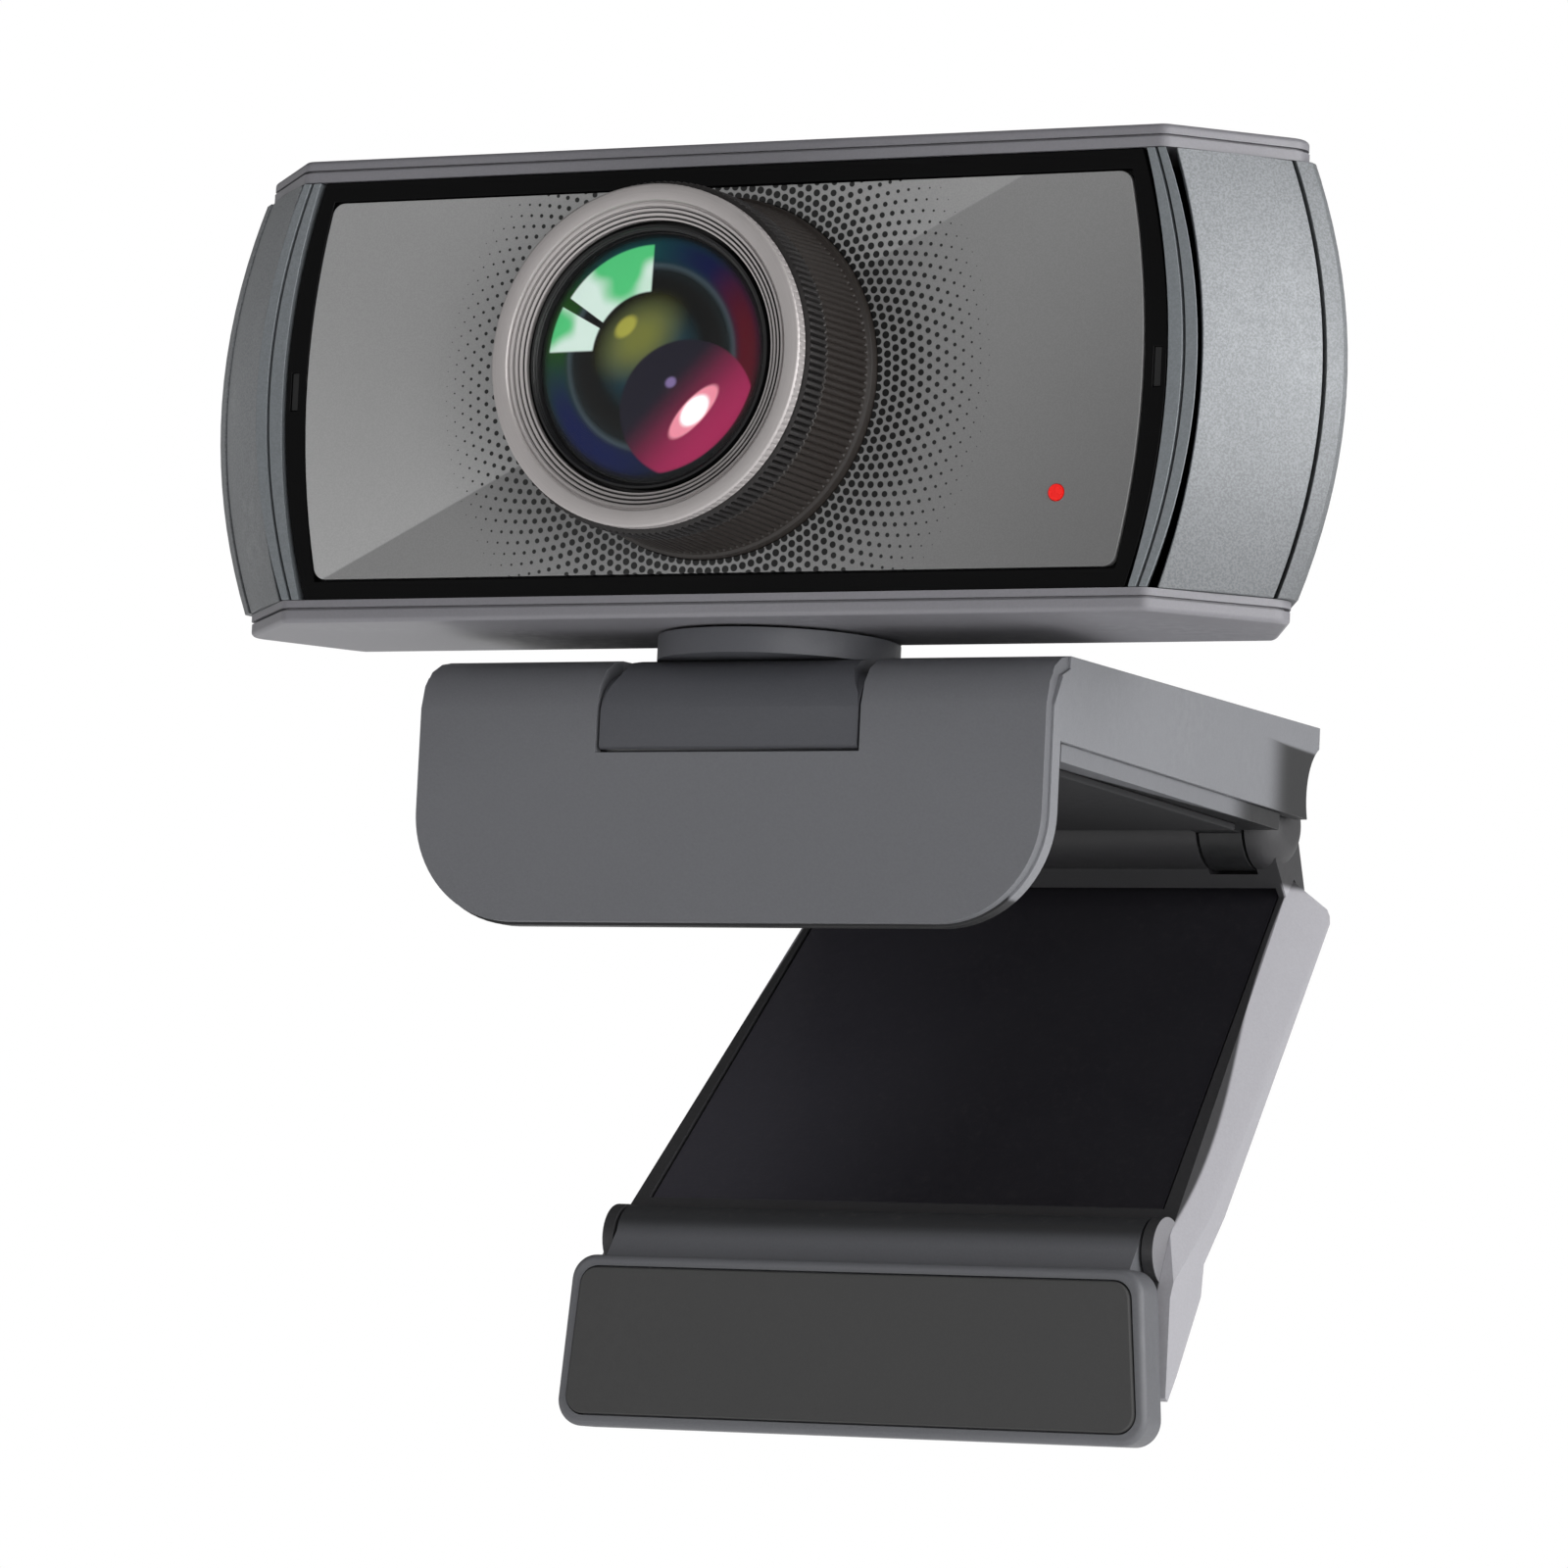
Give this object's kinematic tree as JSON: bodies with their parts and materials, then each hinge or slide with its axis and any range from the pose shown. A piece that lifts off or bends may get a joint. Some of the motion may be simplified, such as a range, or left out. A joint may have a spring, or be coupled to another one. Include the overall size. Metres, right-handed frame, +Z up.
{
  "type": "webcam on a folding monitor clip",
  "caption": "Wide webcam with a raised focus barrel on a swivel and tilt neck, held by a folding monitor clip with a lip, a rear leg and a hinged foot.",
  "frame": {"origin": "centre of the soft pad under the clip's arm, on the face that rests on a monitor", "axes": "+Z up, the lens looks along -Y, +X across to the right seen from the front"},
  "size_m": [0.1102, 0.091, 0.1106],
  "materials": {
    "barrel_brown": "satin ribbed",
    "bezel_black": "high gloss",
    "board_green": "solder mask",
    "brass": "machined",
    "cap_grey": "satin",
    "chip_black": "moulded",
    "clip_grey": "fine moulded grain",
    "connector_white": "moulded",
    "filter_glass": "polished",
    "housing_grey": "satin metallic speckle",
    "led_red": "moulded light window",
    "leg_black": "fine moulded grain",
    "lens_black": "satin",
    "lens_glass": "polished, coated",
    "pad_rubber": "matt",
    "panel_silver": "glossy silver",
    "ring_silver": "turned, satin",
    "sensor_dark": "polished",
    "steel": "machined",
    "trim_grey": "satin"
  },
  "bodies": {
    "clip": {"clip_arm": "clip_grey", "clip_front": "clip_grey", "arm_base": "clip_grey", "arm_pad": "pad_rubber", "lip_pad": "pad_rubber", "tripod_insert": "brass", "base_screws": "steel", "tilt_pin": "steel", "tilt_washers": "steel", "rear_hinge_pin": "steel"},
    "leg": {"leg_frame": "clip_grey", "leg_panel": "leg_black", "leg_cover": "leg_black", "foot_hinge_pin": "steel"},
    "foot": {"foot_plate": "clip_grey", "foot_pad": "pad_rubber"},
    "swivel": {"swivel_post": "clip_grey", "swivel_washer": "steel", "swivel_screw": "steel"},
    "head": {"top_cap": "cap_grey", "bottom_cap": "cap_grey", "side_panel_left": "housing_grey", "side_panel_right": "housing_grey", "side_trim_front_left": "trim_grey", "side_trim_front_right": "trim_grey", "side_trim_rear_left": "trim_grey", "side_trim_rear_right": "trim_grey", "rear_shell": "housing_grey", "main_housing": "lens_black", "front_bezel": "bezel_black", "face_panel": "panel_silver", "mic_window_left": "lens_black", "mic_window_right": "lens_black", "status_window": "led_red", "lens_barrel": "barrel_brown", "lens_mount": "lens_black", "infrared_filter": "filter_glass", "image_sensor": "sensor_dark", "main_board": "board_green", "main_chip": "chip_black", "shield_can": "steel", "cable_header": "connector_white", "status_led": "led_red", "mic_capsules": "chip_black", "board_screws": "steel", "rear_screws": "steel", "cable_gland": "lens_black"},
    "focus": {"focus_ring": "ring_silver"},
    "lens": {"lens_cell": "lens_black", "lens_hood_ring": "lens_black", "front_glass": "lens_glass", "middle_lens": "lens_glass", "rear_lens": "lens_glass", "aperture_ring": "lens_black"}
  },
  "joints": [
    {"name": "tilt", "type": "hinge", "parent": "clip", "child": "swivel", "pos_m": [0, -0.0269, 0.0045], "axis": [1, 0, 0], "range_deg": [-4, 30]},
    {"name": "pan", "type": "hinge", "parent": "swivel", "child": "head", "pos_m": [0, -0.0217, 0.0122], "axis": [0, 0, 1], "range_deg": [-175, 175]},
    {"name": "leg_fold", "type": "hinge", "parent": "clip", "child": "leg", "pos_m": [0, 0.0351, 0.0018], "axis": [1, 0, 0], "range_deg": [-30, 70]},
    {"name": "foot_swing", "type": "hinge", "parent": "leg", "child": "foot", "pos_m": [0, 0.0053, -0.0394], "axis": [1, 0, 0], "range_deg": [-40, 4]},
    {"name": "focus_turn", "type": "hinge", "parent": "head", "child": "focus", "pos_m": [0, -0.046, 0.033], "axis": [0, -1, 0], "range_deg": [-60, 60]},
    {"name": "focus_travel", "type": "slide", "parent": "head", "child": "lens", "axis": [0, -1, 0], "range_m": [-0.0003, 0.0003]}
  ],
  "couplings": [
    {"joint": "focus_travel", "follows": "focus_turn", "m_per_rad": 0.000286}
  ]
}
